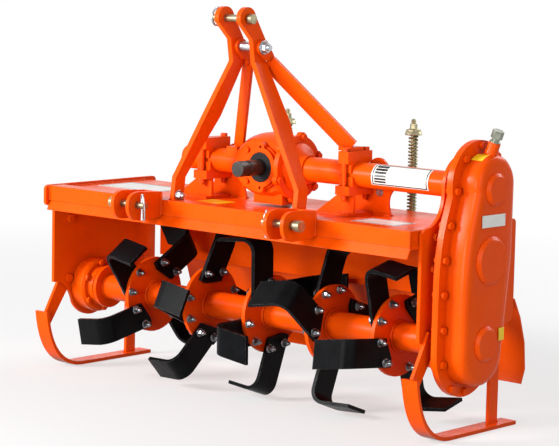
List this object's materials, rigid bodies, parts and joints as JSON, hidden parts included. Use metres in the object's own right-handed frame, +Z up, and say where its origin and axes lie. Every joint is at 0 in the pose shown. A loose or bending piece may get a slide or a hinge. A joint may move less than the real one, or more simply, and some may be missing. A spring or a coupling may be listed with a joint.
{
  "type": "rotary tiller",
  "caption": "Tractor-mounted rotary tiller: bladed rotor under a steel hood, gearbox with cross shaft and side chain case, hitch mast, skids, sprung rear board.",
  "frame": {"origin": "middle of the machine's bounding box on the ground, under the skid soles", "axes": "+Z up, -Y towards the tractor, +X towards the chain case side; the rotor's axis runs along X"},
  "size_m": [1.2138, 0.526, 0.869],
  "materials": {
    "orange_paint": "gloss",
    "yellow_zinc": "satin",
    "bright_zinc": "satin",
    "seal_rubber": "satin",
    "shaft_black": "satin",
    "blade_black": "satin"
  },
  "bodies": {
    "frame": {"board_hinge_rod": "bright_zinc", "chain_case_back": "orange_paint", "chain_case_cover": "orange_paint", "drive_tube_left": "orange_paint", "drive_tube_right": "orange_paint", "filler_plug": "bright_zinc", "front_beam": "orange_paint", "gearbox_housing": "orange_paint", "gearbox_seal": "seal_rubber", "gearbox_side_cover": "orange_paint", "hitch_clevis_left": "orange_paint", "hitch_clevis_right": "orange_paint", "hitch_pin_left": "yellow_zinc", "hitch_pin_right": "yellow_zinc", "hood": "orange_paint", "mast_spacer_bolt": "bright_zinc", "mast_stay_left": "orange_paint", "mast_stay_right": "orange_paint", "mast_strap_left": "orange_paint", "mast_strap_right": "orange_paint", "rotor_bearing_left": "orange_paint", "side_plate_left": "orange_paint", "side_plate_right": "orange_paint", "skid_left": "orange_paint", "skid_right": "orange_paint", "spring_bracket_left": "orange_paint", "spring_bracket_right": "orange_paint", "spring_left": "yellow_zinc", "spring_right": "yellow_zinc", "top_link_pin": "yellow_zinc", "tube_clamp_left": "orange_paint", "tube_clamp_right": "orange_paint", "tube_pedestal_left": "orange_paint", "tube_pedestal_right": "orange_paint"},
    "trailing_board": {"trailing_board": "orange_paint"},
    "spring_rod_left": {"spring_rod_left": "yellow_zinc"},
    "spring_rod_right": {"spring_rod_right": "yellow_zinc"},
    "pto_shaft": {"pto_shaft": "shaft_black"},
    "rotor": {"rotor_shaft": "orange_paint", "blade_1_1": "blade_black", "blade_1_2": "blade_black", "blade_1_3": "blade_black", "blade_1_4": "blade_black", "blade_2_1": "blade_black", "blade_2_2": "blade_black", "blade_2_3": "blade_black", "blade_2_4": "blade_black", "blade_3_1": "blade_black", "blade_3_2": "blade_black", "blade_3_3": "blade_black", "blade_3_4": "blade_black", "blade_4_1": "blade_black", "blade_4_2": "blade_black", "blade_4_3": "blade_black", "blade_4_4": "blade_black", "blade_5_1": "blade_black", "blade_5_2": "blade_black", "blade_5_3": "blade_black", "blade_5_4": "blade_black"}
  },
  "joints": [
    {"name": "rotor_spin", "type": "hinge", "parent": "frame", "child": "rotor", "pos_m": [-0.00165, -0.02602, 0.193], "axis": [1, 0, 0], "continuous": true},
    {"name": "pto_spin", "type": "hinge", "parent": "frame", "child": "pto_shaft", "pos_m": [-0.00165, 0.00198, 0.519], "axis": [0, 1, 0], "continuous": true},
    {"name": "board_hinge", "type": "hinge", "parent": "frame", "child": "trailing_board", "pos_m": [-0.00165, 0.19798, 0.277], "axis": [1, 0, 0], "range_deg": [0, 30]},
    {"name": "rod_slide_left", "type": "slide", "parent": "frame", "child": "spring_rod_left", "axis": [0, 0, 1], "range_m": [-0.0005, 0.0235], "deforming": ["spring_left"]},
    {"name": "rod_slide_right", "type": "slide", "parent": "frame", "child": "spring_rod_right", "axis": [0, 0, 1], "range_m": [-0.0005, 0.0235], "deforming": ["spring_right"]}
  ],
  "couplings": [
    {"joint": "pto_spin", "follows": "rotor_spin", "ratio": -2.5},
    {"joint": "rod_slide_left", "follows": "board_hinge", "m_per_rad": 0.0433},
    {"joint": "rod_slide_right", "follows": "board_hinge", "m_per_rad": 0.0433}
  ]
}
